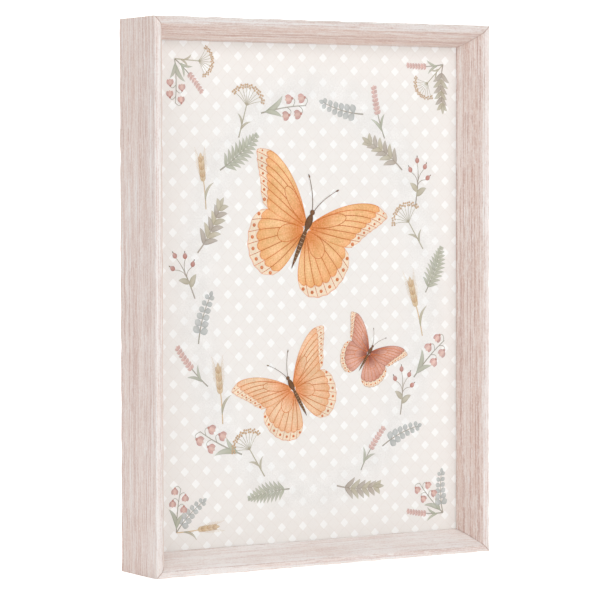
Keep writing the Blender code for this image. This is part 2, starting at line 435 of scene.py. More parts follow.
@dataclass(frozen=True)
class WatercolourInk:
    """Printed watercolour: thin washes that let the ground through, mottled where the pigment settled."""

    paper: PrintPaper = field(default_factory=PrintPaper)
    mottles: tuple[Mottle, ...] = (
        Mottle(12.0, (0.90, 1.10), (0.90, 1.05)),
        Mottle(1.3, (0.90, 1.06), (0.86, 1.08)),
    )

    def material(self) -> Material:
        """Builds the ink, which reads its colour and strength from the "pigment" attribute.

        Returns:
            The material.
        """
        material, tree, shader = blank_material("watercolour_ink")
        add = partial(add_node, tree)
        ground = self.paper.ground.colour(tree)
        pigment = add("Attribute", attribute_name="pigment").outputs
        place = add("TexCoord").outputs["Object"]
        strength, value = pigment["Alpha"], 1.0
        for mottle in self.mottles:
            noise = add("TexNoise", {"Vector": place, "Scale": 1 / (mottle.size_mm * MM), "Detail": 4.0})
            ends = {"Value": noise, LOW: 0.3, HIGH: 0.7}
            thick, shade = (
                add("MapRange", {**ends, TO_LOW: least, TO_HIGH: most})
                for least, most in (mottle.strength, mottle.shade)
            )
            strength = add("Math", {0: strength, 1: thick}, operation="MULTIPLY")
            value = add("Math", {0: value, 1: shade}, operation="MULTIPLY")
        depth = add("MapRange", {"Value": value, LOW: 0.8, HIGH: 1.1, TO_LOW: 1.12, TO_HIGH: 0.92})
        paint = add("HueSaturation", {"Value": value, "Saturation": depth, "Color": pigment["Color"]})
        colour = add(
            "Mix", {SHARE: strength, UNDER: ground, OVER: paint}, data_type="RGBA", clamp_factor=True
        )
        self.paper.finish(tree, shader, colour)
        return material


@dataclass(frozen=True)
class Hardboard:
    """Pressed wood fibre with one smooth brown face, flecked with darker fibres."""

    light: str = "#A47C55"
    dark: str = "#7C5836"
    fibre_mm: float = 1.2
    cloud_mm: float = 45.0
    relief: float = 0.1 * MM
    roughness: float = 0.7

    def material(self) -> Material:
        """Builds the board.

        Returns:
            The material.
        """
        material, tree, shader = blank_material("hardboard")
        add = partial(add_node, tree)
        place = add("TexCoord").outputs["Object"]
        fine, cloud = (
            add("TexNoise", {"Vector": place, "Scale": 1 / (size * MM), "Detail": detail})
            for size, detail in ((self.fibre_mm, 5.0), (self.cloud_mm, 2.0))
        )
        mixed = add("Math", {0: fine, 1: cloud}, operation="MULTIPLY")
        share = add("MapRange", {"Value": mixed, LOW: 0.05, HIGH: 0.40})
        dark, light = linear(self.dark), linear(self.light)
        colour = add("Mix", {SHARE: share, UNDER: dark, OVER: light}, data_type="RGBA")
        bump = add("Bump", {"Height": fine, "Strength": 0.3, "Distance": self.relief})
        feed(tree, shader, {"Base Color": colour, "Roughness": self.roughness, "Normal": bump})
        return material


@dataclass(frozen=True)
class PlatedSteel:
    """Pressed steel strip under bright plating, with rolling marks along it."""

    name: str
    colour: str
    worn: str
    roughness: float = 0.34
    marks_per_metre: tuple[float, ...] = (300, 4000, 4000)

    def material(self) -> Material:
        """Builds the metal.

        Returns:
            The material.
        """
        material, tree, shader = blank_material(self.name)
        add = partial(add_node, tree)
        place = add("TexCoord").outputs["Object"]
        turned = add("Mapping", {"Vector": place, "Scale": self.marks_per_metre})
        marks = add("TexNoise", {"Vector": turned, "Scale": 1.0, "Detail": 3.0})
        share = add("MapRange", {"Value": marks, LOW: 0.35, HIGH: 0.75})
        plated, worn = linear(self.colour), linear(self.worn)
        colour = add("Mix", {SHARE: share, UNDER: plated, OVER: worn}, data_type="RGBA")
        ends = {TO_LOW: self.roughness - 0.08, TO_HIGH: self.roughness + 0.12}
        rough = add("MapRange", {"Value": marks, **ends})
        feed(tree, shader, {"Base Color": colour, "Roughness": rough, "Metallic": 1.0})
        return material


@dataclass
class Moulding:
    """One mitred length of the box frame. Its section is the same all round the frame."""

    node: str
    along: Along
    turn: float
    seed: int
    # Below 1, painted shade over the whole member
    tone: float = 1.0
    # Painted light on the inner wall, laid on as extra wash
    inner_painted_light: float = 0.0
    bare: float = 0.0
    worn_lines: tuple = ()
    face: float = 5.8 * MM
    recess: float = 24.4 * MM
    run: float = 12.5 * MM
    bulge: float = 1.4 * MM
    rebate: float = 4.8 * MM
    edge: float = 1.0 * MM
    ease: float = 0.9 * MM
    mitre_gap: float = 0.06 * MM
    sharp_degrees: float = 50.0
    row_step: float = 1.15 * MM
    end_rows_mm: tuple[float, ...] = (0.0, 0.35, 0.8, 1.5, 2.5)
    end_reach: float = 4 * MM
    grooves: int = 300
    groove_depth: float = 0.14 * MM
    groove_halves_mm: tuple[float, float] = (12, 75)
    groove_widths_mm: tuple[float, float] = (0.35, 0.9)
    groove_shares: tuple[float, float] = (0.25, 1.0)
    groove_skew: float = 1.5
    groove_drift: float = 0.004
    groove_fill: tuple[float, float] = (0.25, 1.0)
    waver: float = 0.45 * MM
    waves: int = 5
    wave_lengths: tuple[float, float] = (0.012, 0.05)
    wave_slant: float = 40.0
    worn_half: float = 0.45 * MM
    worn_step: float = 14 * MM
    worn_heights: tuple[float, float] = (-0.2, 1.0)
    front_fade: tuple[float, float] = (0.3 * MM, 2.2 * MM)
    outer_fade: tuple[float, float] = (0.0, 1.0 * MM)
    # How much wash the front face gets, partly as painted light, and how much the outer side face gets
    front_lime_and_light: float = 0.58
    side_veil: float = 0.30
    front_bare: float = 0.10
    side_bare: float = 0.35
    blotch_waves: tuple[float, ...] = (61.0, 23.0, 90.0)
    blotch_shares: tuple[float, float] = (0.7, 1.3)
    seam_half: float = 0.5 * MM
    seam_start: tuple[float, float] = (0.2 * MM, 1.2 * MM)
    seam_sink: tuple[float, float] = (0.5 * MM, 3.0 * MM)
    seam_deep: float = 0.4
    skin_share: float = 0.84
    bake_margin: float = 0.02
    last_end_at: float = 0.32
    end_fill: float = 0.8

    def section(self, depth: float) -> np.ndarray:
        """The section's outline as (inset, depth) points, going round it from the outer front edge.

        The inner wall is an arc: over a chord from the front face's inner edge to the lip it rises by
        bulge * (1 - s squared), where s runs from -1 to 1 along the chord. Each stretch's last value is its
        number of points.

        Args:
            depth: The moulding's whole depth.

        Returns:
            The outline, as (n, 2), open at its end.
        """
        lip, wall, r = self.face + self.run, self.face + self.run - self.rebate, self.edge

        def line(a: tuple[float, float], b: tuple[float, float], count: int) -> np.ndarray:
            """Evenly spaced points from a, short of b."""
            t = np.arange(count)[:, None] / count
            return np.array(a) * (1 - t) + np.array(b) * t

        def round_off(centre: tuple[float, float], start: float, count: int) -> np.ndarray:
            """A quarter circle about centre from an angle in degrees, short of its end."""
            angle = np.radians(start + 90 * np.arange(count) / count)
            return np.array(centre) + r * np.stack([np.cos(angle), np.sin(angle)], 1)

        s = np.linspace(-1, 1, 37)[:, None]
        ends = np.array([(self.face, 0.0), (lip, self.recess)])
        chord = ends[1] - ends[0]
        outward = np.array([chord[1], -chord[0]]) / np.hypot(*chord)
        slope = ends[0] + chord * (s + 1) / 2 + outward * self.bulge * (1 - s * s)
        corner = self.face - self.ease
        eased = bezier(((corner, 0.0), (self.face, 0.0), tuple(slope[2])), np.linspace(0, 1, 6))[:-1]
        stretches = (
            round_off((r, r), 180, 6),
            line((r, 0.0), (corner, 0.0), 9),
            eased,
            slope[2:-1],
            line((lip, self.recess), (wall, self.recess), 4),
            line((wall, self.recess), (wall, depth), 16),
            line((wall, depth), (r, depth), 10),
            round_off((r, depth - r), 90, 6),
            line((0.0, depth - r), (0.0, r), 70),
        )
        return np.concatenate(stretches)

    def relief(
        self, along: np.ndarray, round_way: np.ndarray, perimeter: float
    ) -> tuple[np.ndarray, np.ndarray]:
        """Brushed-out grain: long shallow grooves, each a bell curve across that fades to both of its ends,
        on a face that wavers by a sum of sines.

        Args:
            along: Places along the member, as (rows, columns).
            round_way: Distances round the section, of the same shape.
            perimeter: The whole distance round the section.

        Returns:
            How far each point sinks, and how much lime lies there, from 0 to 1.
        """
        rng = np.random.default_rng(self.seed)
        sunk, lime = np.zeros_like(along), np.zeros_like(along)
        reach = np.abs(along).max()
        least_fill, most_fill = self.groove_fill
        grooves = zip(
            rng.uniform(-reach, reach, self.grooves),
            rng.uniform(0, perimeter, self.grooves),
            rng.uniform(*self.groove_halves_mm, self.grooves) * MM,
            rng.uniform(*self.groove_widths_mm, self.grooves) * MM,
            rng.uniform(*self.groove_shares, self.grooves) ** self.groove_skew,
            rng.normal(0, self.groove_drift, self.grooves),
        )
        for middle, lane, half, width, share, drift in grooves:
            run = np.clip(1 - ((along - middle) / half) ** 2, 0, 1)
            shape = share * run * bell(round_way - lane - drift * (along - middle), width)
            sunk = np.maximum(sunk, shape)
            # A large prime scatters the lanes' places, which say how full of lime each groove is
            scattered = lane * 7919 / perimeter % 1
            lime += shape * (least_fill + (most_fill - least_fill) * scattered)
        phases = rng.uniform(0, 2 * math.pi, self.waves)
        lengths = rng.uniform(*self.wave_lengths, self.waves)
        turns = (2 * math.pi * along / length + phase for length, phase in zip(lengths, phases))
        swell = sum(np.sin(turn + round_way * self.wave_slant) for turn in turns) / 3
        waver = self.waver * (0.5 + 0.5 * np.clip(swell, -1, 1))
        return sunk * self.groove_depth + waver, np.clip(lime, 0, 1)

    def worn(self, along: np.ndarray, round_way: np.ndarray, outline: np.ndarray) -> np.ndarray:
        """Edges rubbed back to bare wood, and a painted shade line where the inner wall meets the print: a
        bell curve across each line, whose height wanders along it.

        Args:
            along: Places along the member, as (rows, columns).
            round_way: Distances round the section, of the same shape.
            outline: The section.

        Returns:
            How far each point is worn, and for the lip's line how strong its painted shade is, from 0 to 1.
        """
        rng = np.random.default_rng(self.seed + 1)
        reach = np.abs(along).max()
        spots = np.arange(-reach, reach + self.worn_step, self.worn_step)
        depth, lip = outline[:, 1].max(), self.face + self.run
        # Each edge's inset and depth, and how worn it gets; the line at the lip, where the inner wall meets
        # the print, is painted shade
        worn_edges_and_lip_shade = (
            (0.0, self.edge, 0.5),
            (self.face, 0.2 * MM, 0.7),
            # Painted shade in the corner where the inner wall meets the print
            (lip, self.recess, 1.0),
            (0.0, depth - self.edge, 0.5),
        )
        total = np.zeros_like(along)
        for inset, back, most in worn_edges_and_lip_shade + self.worn_lines:
            lane = round_way[0, np.argmin(np.hypot(outline[:, 0] - inset, outline[:, 1] - back))]
            height = np.interp(along, spots, rng.uniform(*self.worn_heights, len(spots)))
            total += most * np.clip(height, 0, 1) * bell(round_way - lane, self.worn_half)
        return np.clip(total, 0, 1)

    def coats(
        self, lime: np.ndarray, flat: np.ndarray, lanes: np.ndarray, to_end: np.ndarray, outline: np.ndarray
    ) -> dict[str, np.ndarray]:
        """How the wash lies: thick on the front face, thinner towards the back, and rubbed off at the edges.
        The front face's wash is partly painted light. The inner walls get none, so they stay darker and
        pinker, partly as painted shade. An inner wall can also be given painted light.

        Args:
            lime: What lies in the grooves, as (rows, columns).
            flat: Places along the member, of the same shape.
            lanes: Distances round the section, of the same shape.
            to_end: Distances to the nearer mitre, of the same shape.
            outline: The section.

        Returns:
            The timber's attributes by name, each from 0 to 1 at each point.
        """
        inset, back = outline.T
        front = 1 - smooth_step(back, *self.front_fade)
        outer = 1 - smooth_step(inset, *self.outer_fade)
        inner_wall = (1 - front) * (1 - outer)
        forward = 1 - back / back.max()
        # Painted light and shade: the front face's wash is partly painted light, the inner walls get none
        # and stay darker, partly as painted shade, and the side face is lighter towards the front
        veil_and_painted_light = self.front_lime_and_light * front + self.side_veil * forward * outer * (1 - front)
        # Painted light on an inner wall, laid on as extra wash
        veil_and_painted_light = veil_and_painted_light + self.inner_painted_light * inner_wall
        bare = self.front_bare * front + (self.bare * inner_wall + self.side_bare * outer) * (1 - front)
        short, long, round_it = self.blotch_waves
        blotch = np.sin(flat * short + self.seed) * np.sin(flat * long + lanes * round_it) * 0.5 + 0.5
        thin, thick = self.blotch_shares
        seam = bell(to_end, self.seam_half) * smooth_step(inset, *self.seam_start)
        return {
            # The lime attribute holds the wash in the grain and the broad wash, which is partly painted
            # light
            "lime": np.clip(lime + veil_and_painted_light * (thin + (thick - thin) * blotch), 0, 1),
            "seam": seam * (1 - (1 - self.seam_deep) * smooth_step(back, *self.seam_sink)),
            "worn": self.worn(flat, lanes, outline),
            "bare": np.broadcast_to(bare, flat.shape),
        }

    def build(self, centre: Vector, length: float, depth: float) -> Object:
        """Carries the section along the member and closes it with its two mitred ends.

        A point of the section at an inset lies at t * (length / 2 - inset - gap) along the member, with t
        from -1 to 1, so that both ends fall on the mitre planes.

        Args:
            centre: The middle of the member's outer front edge.
            length: The member's length along its outer side.
            depth: The moulding's depth.

        Returns:
            The piece.
        """
        outline, half = self.section(depth), length / 2
        after, before = np.roll(outline, -1, 0), np.roll(outline, 1, 0)
        tangent = (after - before) / np.linalg.norm(after - before, axis=1)[:, None]
        normal = np.stack([tangent[:, 1], -tangent[:, 0]], 1)
        steps = np.linalg.norm(after - outline, axis=1)
        round_way = np.concatenate([[0], np.cumsum(steps)])
        close = np.array(self.end_rows_mm) * MM / half
        reach = 1 - self.end_reach / half
        inner = np.linspace(-reach, reach, int(length / self.row_step))
        t = np.concatenate([-1 + close, inner, 1 - close[::-1]])[:, None]
        flat = t * (half - outline[None, :, 0])
        lanes = np.broadcast_to(round_way[:-1], flat.shape)
        sunk, lime = self.relief(flat, lanes, steps.sum())
        hidden = (outline[:, 1] >= self.recess - 0.1 * MM) & (outline[:, 0] > self.edge)
        sunk = sunk * np.where(hidden, 0.0, 1.0)
        inset, back = (outline[:, i] - normal[:, i] * sunk for i in (0, 1))
        x = t * (half - inset - self.mitre_gap / 2 * math.sqrt(2))
        local = np.stack([x, back, inset], -1).reshape(-1, 3)
        turned = Matrix.Rotation(math.radians(self.turn), 3, "Y")
        rows, columns = x.shape
        first = np.arange(columns)
        last = first + (rows - 1) * columns
        quads = grid_quads(rows, columns, closed=True)[:, ::-1]
        points = local @ np.array(turned).T + np.array(centre)
        piece = mesh_from(self.node + "_limed", points, quads, (first, last[::-1]))
        piece.data.set_sharp_from_angle(angle=math.radians(self.sharp_degrees))
        to_end = (1 - np.abs(t)) * (half - outline[:, 0])
        for name, values in self.coats(lime, flat, lanes, to_end, outline).items():
            set_attribute(piece, name, values.ravel())
        set_bake_map(piece, self.bake_places(quads, (t[:, 0] + 1) / 2, round_way, outline))
        return piece

    def bake_places(
        self, quads: np.ndarray, rows: np.ndarray, lanes: np.ndarray, outline: np.ndarray
    ) -> np.ndarray:
        """Unrolls the member's skin over most of the map and lays its two ends beside it.

        Args:
            quads: The skin's faces.
            rows: Each row's place along the member, from 0 to 1.
            lanes: Each column's distance round the section, with the whole distance last.
            outline: The section.

        Returns:
            A place for each corner of each face, as (n, 2).
        """
        columns = len(outline)
        row, column = quads // columns, quads % columns
        wraps = (column.max(axis=1) - column.min(axis=1) > 1)[:, None]
        column = np.where(wraps & (column == 0), columns, column)
        skin = np.stack([rows[row], self.skin_share * lanes[column] / lanes[-1]], -1).reshape(-1, 2)
        end = outline[:, ::-1] / outline.max() * (1 - self.skin_share) * self.end_fill
        foot = self.skin_share + self.bake_margin
        first, last = (end + np.array([left, foot]) for left in (self.bake_margin, self.last_end_at))
        return np.concatenate([skin, first, last[::-1]])


@dataclass
class BoxFrame:
    """The four mitred mouldings."""

    timber: LimedTimber = field(default_factory=LimedTimber)
    members: tuple[Moulding, ...] = (
        # The bottom rail's inner wall is painted lighter, as painted light on a wall that faces up into the
        # light
        Moulding("rail_bottom", Along.ACROSS, 0, seed=11, inner_painted_light=0.64, bare=-0.3),
        # The top rail is painted darker all over, as painted shade meant for its inner wall, which faces
        # down
        Moulding("rail_top", Along.ACROSS, 180, seed=23, tone=0.89, bare=0.5),
        Moulding("stile_left", Along.UP, 90, seed=37, bare=0.4, worn_lines=((0.0, 5.5 * MM, 0.8),)),
        Moulding("stile_right", Along.UP, -90, seed=41, bare=0.6),
    )

    def build(self) -> list[Object]:
        """Builds and dresses each member where its CAD node stands.

        Returns:
            The pieces.
        """
        pieces = []
        for member in self.members:
            low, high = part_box(member.node)
            middle, axis = (low + high) / 2, member.along.value
            outer_edge = {
                0: (0.0, low.y, CAD_LOW.z),
                180: (0.0, low.y, CAD_HIGH.z),
                90: (CAD_LOW.x, low.y, middle.z),
                -90: (CAD_HIGH.x, low.y, middle.z),
            }[member.turn]
            piece = member.build(Vector(outer_edge), CAD_HIGH[axis] - CAD_LOW[axis], high.y - low.y)
            name = "limed_timber_" + member.node
            timber = self.timber.material(name, member.along, member.seed * 0.37, member.tone)
            piece.data.materials.append(timber)
            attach(piece, "root")
            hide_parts(member.node)
            pieces.append(piece)
        return pieces


@dataclass
class InkFilm:
    """Flat painted patches, gathered and turned into one thin mesh on the front of the sheet.

    A wash of a later layer lies over an earlier one, and patches of one wash lie a hair apart, in turns.
    """

    name: str
    origin: tuple[float, float]
    surface_y: float
    lift: float = 0.05 * MM
    layer_step: float = 0.034 * MM
    patch_step: float = 0.0009 * MM
    patch_steps: int = 37
    bake_gap: float = 0.5
    bake_slack: float = 1.08
    points: list[np.ndarray] = field(default_factory=list)
    spreads: list[np.ndarray] = field(default_factory=list)
    quads: list[np.ndarray] = field(default_factory=list)
    colours: list[np.ndarray] = field(default_factory=list)
    count: int = 0

    def add(self, place: np.ndarray, colour: np.ndarray, layer: int) -> None:
        """Lays one patch on the sheet.

        Args:
            place: The patch's points in millimetres from the film's origin, as (rows, columns, 2).
            colour: Linear colour and strength at each point, as (rows, columns, 4).
            layer: Which wash it belongs to.
        """
        order = len(self.points) % self.patch_steps
        y = self.surface_y - self.lift - layer * self.layer_step - order * self.patch_step
        flat = place.reshape(-1, 2)
        x, z = (flat[:, i] * MM + self.origin[i] for i in (0, 1))
        faces = grid_quads(*place.shape[:2])
        a, b, c = (flat[faces[:, i]] for i in (0, 1, 2))
        turn = np.cross(b - a, c - a).sum()
        self.quads.append((faces if turn > 0 else faces[:, ::-1]) + self.count)
        self.points.append(np.stack([x, np.full(len(flat), y), z], 1))
        self.spreads.append(self.flattened(place))
        self.colours.append(colour.reshape(-1, 4))
        self.count += len(flat)

    @staticmethod
    def flattened(place: np.ndarray) -> np.ndarray:
        """Unrolls a patch into an upright rectangle, by its greatest distances down and across.

        Args:
            place: The patch's points, as (rows, columns, 2).

        Returns:
            Places in the rectangle, in millimetres from its corner, of the same shape.
        """
        down = np.linalg.norm(np.diff(place, axis=0), axis=2).max(axis=1)
        over = np.linalg.norm(np.diff(place, axis=1), axis=2).max(axis=0)
        y, x = (np.concatenate([[0], np.cumsum(d)]) for d in (down, over))
        wide, high = np.meshgrid(x, y)
        return np.stack((wide, high) if y[-1] >= x[-1] else (high, wide), -1)

    def packed(self) -> np.ndarray:
        """Sets the patches' rectangles side by side in rows, the tallest first, on one square map.

        Returns:
            A place from 0 to 1 for every point of the film, as (n, 2).
        """
        sizes = np.array([spread.reshape(-1, 2).max(axis=0) for spread in self.spreads]) + self.bake_gap
        side = math.sqrt(sizes.prod(axis=1).sum()) * self.bake_slack
        x = y = tall = 0.0
        corners = np.zeros_like(sizes)
        for i in np.argsort(-sizes[:, 1]):
            if x + sizes[i, 0] > side:
                x, y, tall = 0.0, y + tall, 0.0
            tall = max(tall, sizes[i, 1])
            corners[i] = x, y
            x += sizes[i, 0]
        reach = max(side, y + tall, sizes[:, 0].max())
        spots = [spread.reshape(-1, 2) + corner for spread, corner in zip(self.spreads, corners)]
        return (np.concatenate(spots) + self.bake_gap / 2) / reach

    def finish(self, material: Material) -> Object:
        """Makes one piece of every patch.

        Args:
            material: The ink.

        Returns:
            The piece.
        """
        quads = np.concatenate(self.quads)
        piece = mesh_from(self.name, np.concatenate(self.points), quads)
        set_attribute(piece, "pigment", np.concatenate(self.colours))
        set_bake_map(piece, self.packed()[quads.ravel()])
        piece.data.materials.append(material)
        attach(piece, "root")
        return piece


# A strip's cross places, from its one edge to its other, and the least half width that it is drawn with
ACROSS = np.array([-1.0, -0.84, -0.45, 0.0, 0.45, 0.84, 1.0])
LEAST_HALF_WIDTH = 0.03


@dataclass(frozen=True)
class Wash:
    """One mixed colour of paint: its body, its darker rim where the paint dried, and how strong it lies."""

    body: str
    rim: str
    strength: float = 0.92
    rim_share: float = 0.75
    foot_share: float = 0.25
    tint_spread: float = 0.05
    middle_share: float = 0.86

    def over(self, rows: int, across: np.ndarray, fade: float, rng: np.random.Generator) -> np.ndarray:
        """Colours a patch: the rim's colour grows with the fourth power of the distance from the middle, and
        the paint's thickness with its third.

        Args:
            rows: Points along the patch.
            across: The patch's cross places, from -1 to 1.
            fade: How much the far end pales, from 0 to 1.
            rng: Source of the patch's own small tint.

        Returns:
            Colours, as (rows, columns, 4).
        """
        body, rim = np.array(linear(self.body)[:3]), np.array(linear(self.rim)[:3])
        u = np.linspace(0, 1, rows)[:, None, None]
        aside = np.abs(across)[None, :, None]
        share = self.rim_share * aside**4 + self.foot_share * (1 - u) ** 3
        colour = (body * (1 - share) + rim * share) * (1 + rng.normal(0, self.tint_spread))
        thick = self.middle_share + (1 - self.middle_share) * aside**3
        strength = self.strength * (1 - fade * u) * thick
        return np.concatenate([colour, np.broadcast_to(strength, colour.shape[:2] + (1,))], -1)


@dataclass(frozen=True)
class Palette:
    """The print's paints."""

    sage: Wash = Wash("#A9AC93", "#7F8468")
    olive: Wash = Wash("#B3A98A", "#8C7F5C")
    taupe: Wash = Wash("#A99A88", "#7F6C58")
    stem: Wash = Wash("#9A917C", "#7B705C", 0.9)
    mist: Wash = Wash("#AEB3B1", "#858D8E", 0.88)
    rose: Wash = Wash("#D3A198", "#B4736A", 0.9)
    blush: Wash = Wash("#E3B9AC", "#C78F83", 0.85)
    rust: Wash = Wash("#B9614A", "#8D4030", 0.95)
    ochre: Wash = Wash("#C99E63", "#9C6B35", 0.93)
    straw: Wash = Wash("#D9BA86", "#B08A50", 0.9)
    umber: Wash = Wash("#7C5A42", "#543827", 1.3)
    peach: Wash = Wash("#FBCF9C", "#F4AC72", 1.15)
    orange: Wash = Wash("#F1A669", "#E58A50", 1.15)
    blush_wing: Wash = Wash("#FBD9B6", "#F0B083", 1.15)
    dusk_wing: Wash = Wash("#E9B7A4", "#D08F7D", 1.15)
    cream: Wash = Wash("#FBE5CB", "#F3CFA8", 0.95)
    vein: Wash = Wash("#DD8450", "#D0743F", 1.2)
    milk: Wash = Wash("#FAF9F7", "#FAF9F7", 0.55)


class Sprig(Enum):
    """The kinds of sprig in the wreath."""

    FERN = "fern"
    LAVENDER = "lavender"
    WHEAT = "wheat"
    OLIVE = "olive"
    BELLS = "bells"
    HIPS = "hips"
    SEEDS = "seeds"
    COINS = "coins"


@dataclass
class Brush:
    """Paints strokes and leaves in a frame of its own that is turned and moved on the sheet."""

    film: InkFilm
    rng: np.random.Generator
    at: tuple[float, float] = (0.0, 0.0)
    turn: float = 0.0
    size: float = 1.0

    def placed(self, points: np.ndarray) -> np.ndarray:
        """Turns and moves points from the brush's own frame to the sheet."""
        c, s = math.cos(self.turn), math.sin(self.turn)
        return points @ np.array([[c, s], [-s, c]]) * self.size + np.array(self.at)

    def ribbon(self, path: np.ndarray, half: np.ndarray, wash: Wash, layer: int, fade: float = 0.0) -> None:
        """A painted strip: each point is the path's, plus v times the half width along the path's normal.

        Args:
            path: The middle line, as (n, 2).
            half: Half widths along it.
            wash: Its paint.
            layer: Which wash it belongs to.
            fade: How much the far end pales.
        """
        tangent = np.gradient(path, axis=0)
        tangent /= np.linalg.norm(tangent, axis=1)[:, None]
        normal = np.stack([-tangent[:, 1], tangent[:, 0]], 1)
        wide = np.maximum(half, LEAST_HALF_WIDTH)[:, None, None]
        place = path[:, None] + ACROSS[None, :, None] * wide * normal[:, None]
        self.film.add(self.placed(place), wash.over(len(path), ACROSS, fade, self.rng), layer)

    def stroke(
        self, controls: tuple, start: float, end: float, wash: Wash, layer: int = 0, steps: int = 10
    ) -> None:
        """A brush line along a Bezier curve, from one half width to another."""
        t = np.linspace(0, 1, steps)
        self.ribbon(bezier(controls, t), start + (end - start) * t, wash, layer)

    def stem(
        self, controls: tuple, start: float, end: float, wash: Wash, shares: np.ndarray
    ) -> list[tuple[float, tuple]]:
        """Paints a stem as a stroke, and gives each share of its length with its place on it."""
        self.stroke(controls, start, end, wash)
        return [(t, tuple(place)) for t, place in zip(shares, bezier(controls, shares))]

    def leaf(
        self, base: tuple, angle: float, length: float, half: float, wash: Wash, layer: int = 1,
        bend: float = 0.12, belly: float = 0.8, fade: float = 0.25, steps: int = 10,
    ) -> None:
        """A leaf or petal: its half width is half * sin(pi * t ** belly) ** 0.8 along a bowed middle line.

        Args:
            base: Where it grows from, in millimetres.
            angle: The way it points, in degrees from the brush's own upright.
            length: Its length.
            half: Half its greatest width.
            wash: Its paint.
            layer: Which wash it belongs to.
            bend: How far its middle line bows, as a share of its length.
            belly: Under 1 the widest place is nearer the base's end, over 1 nearer the tip.
            fade: How much its tip pales.
            steps: Points along it.
        """
        t = np.linspace(0, 1, steps)
        way = np.radians(90 - angle)
        ahead = np.array([math.cos(way), math.sin(way)])
        aside = np.array([-ahead[1], ahead[0]])
        bow = 4 * t * (1 - t) * bend * length
        path = np.array(base) + t[:, None] * length * ahead + bow[:, None] * aside
        self.ribbon(path, half * np.sin(np.pi * t**belly) ** 0.8, wash, layer, fade)

    def leaf_pair(
        self, base: tuple, angle: float, length: float, half: float, wash: Wash, layer: int = 1,
        bend: float = 0.1, belly: float = 0.8,
    ) -> None:
        """Two leaves from one place, each the other's mirror image; the values are a leaf's."""
        for side in (-1, 1):
            self.leaf(base, side * angle, length, half, wash, layer, side * bend, belly)

    def dot(self, centre: tuple, radius: float, wash: Wash, layer: int = 2) -> None:
        """A round berry: its half width is the radius times the root of 1 - s squared.

        Args:
            centre: Its middle, in millimetres.
            radius: Its radius.
            wash: Its paint.
            layer: Which wash it belongs to.
        """
        s = np.sin(np.linspace(-1, 1, 9) * np.pi / 2)
        path = np.array(centre) + np.stack([s * 0, s * radius], 1)
        self.ribbon(path, radius * np.sqrt(np.clip(1 - s * s, 0, 1)), wash, layer, 0.15)


def ahead_of(base: tuple, angle: float, length: float) -> tuple[float, float]:
    """The place at a distance from another, on a bearing in degrees from upright."""
    way = math.radians(90 - angle)
    return base[0] + length * math.cos(way), base[1] + length * math.sin(way)


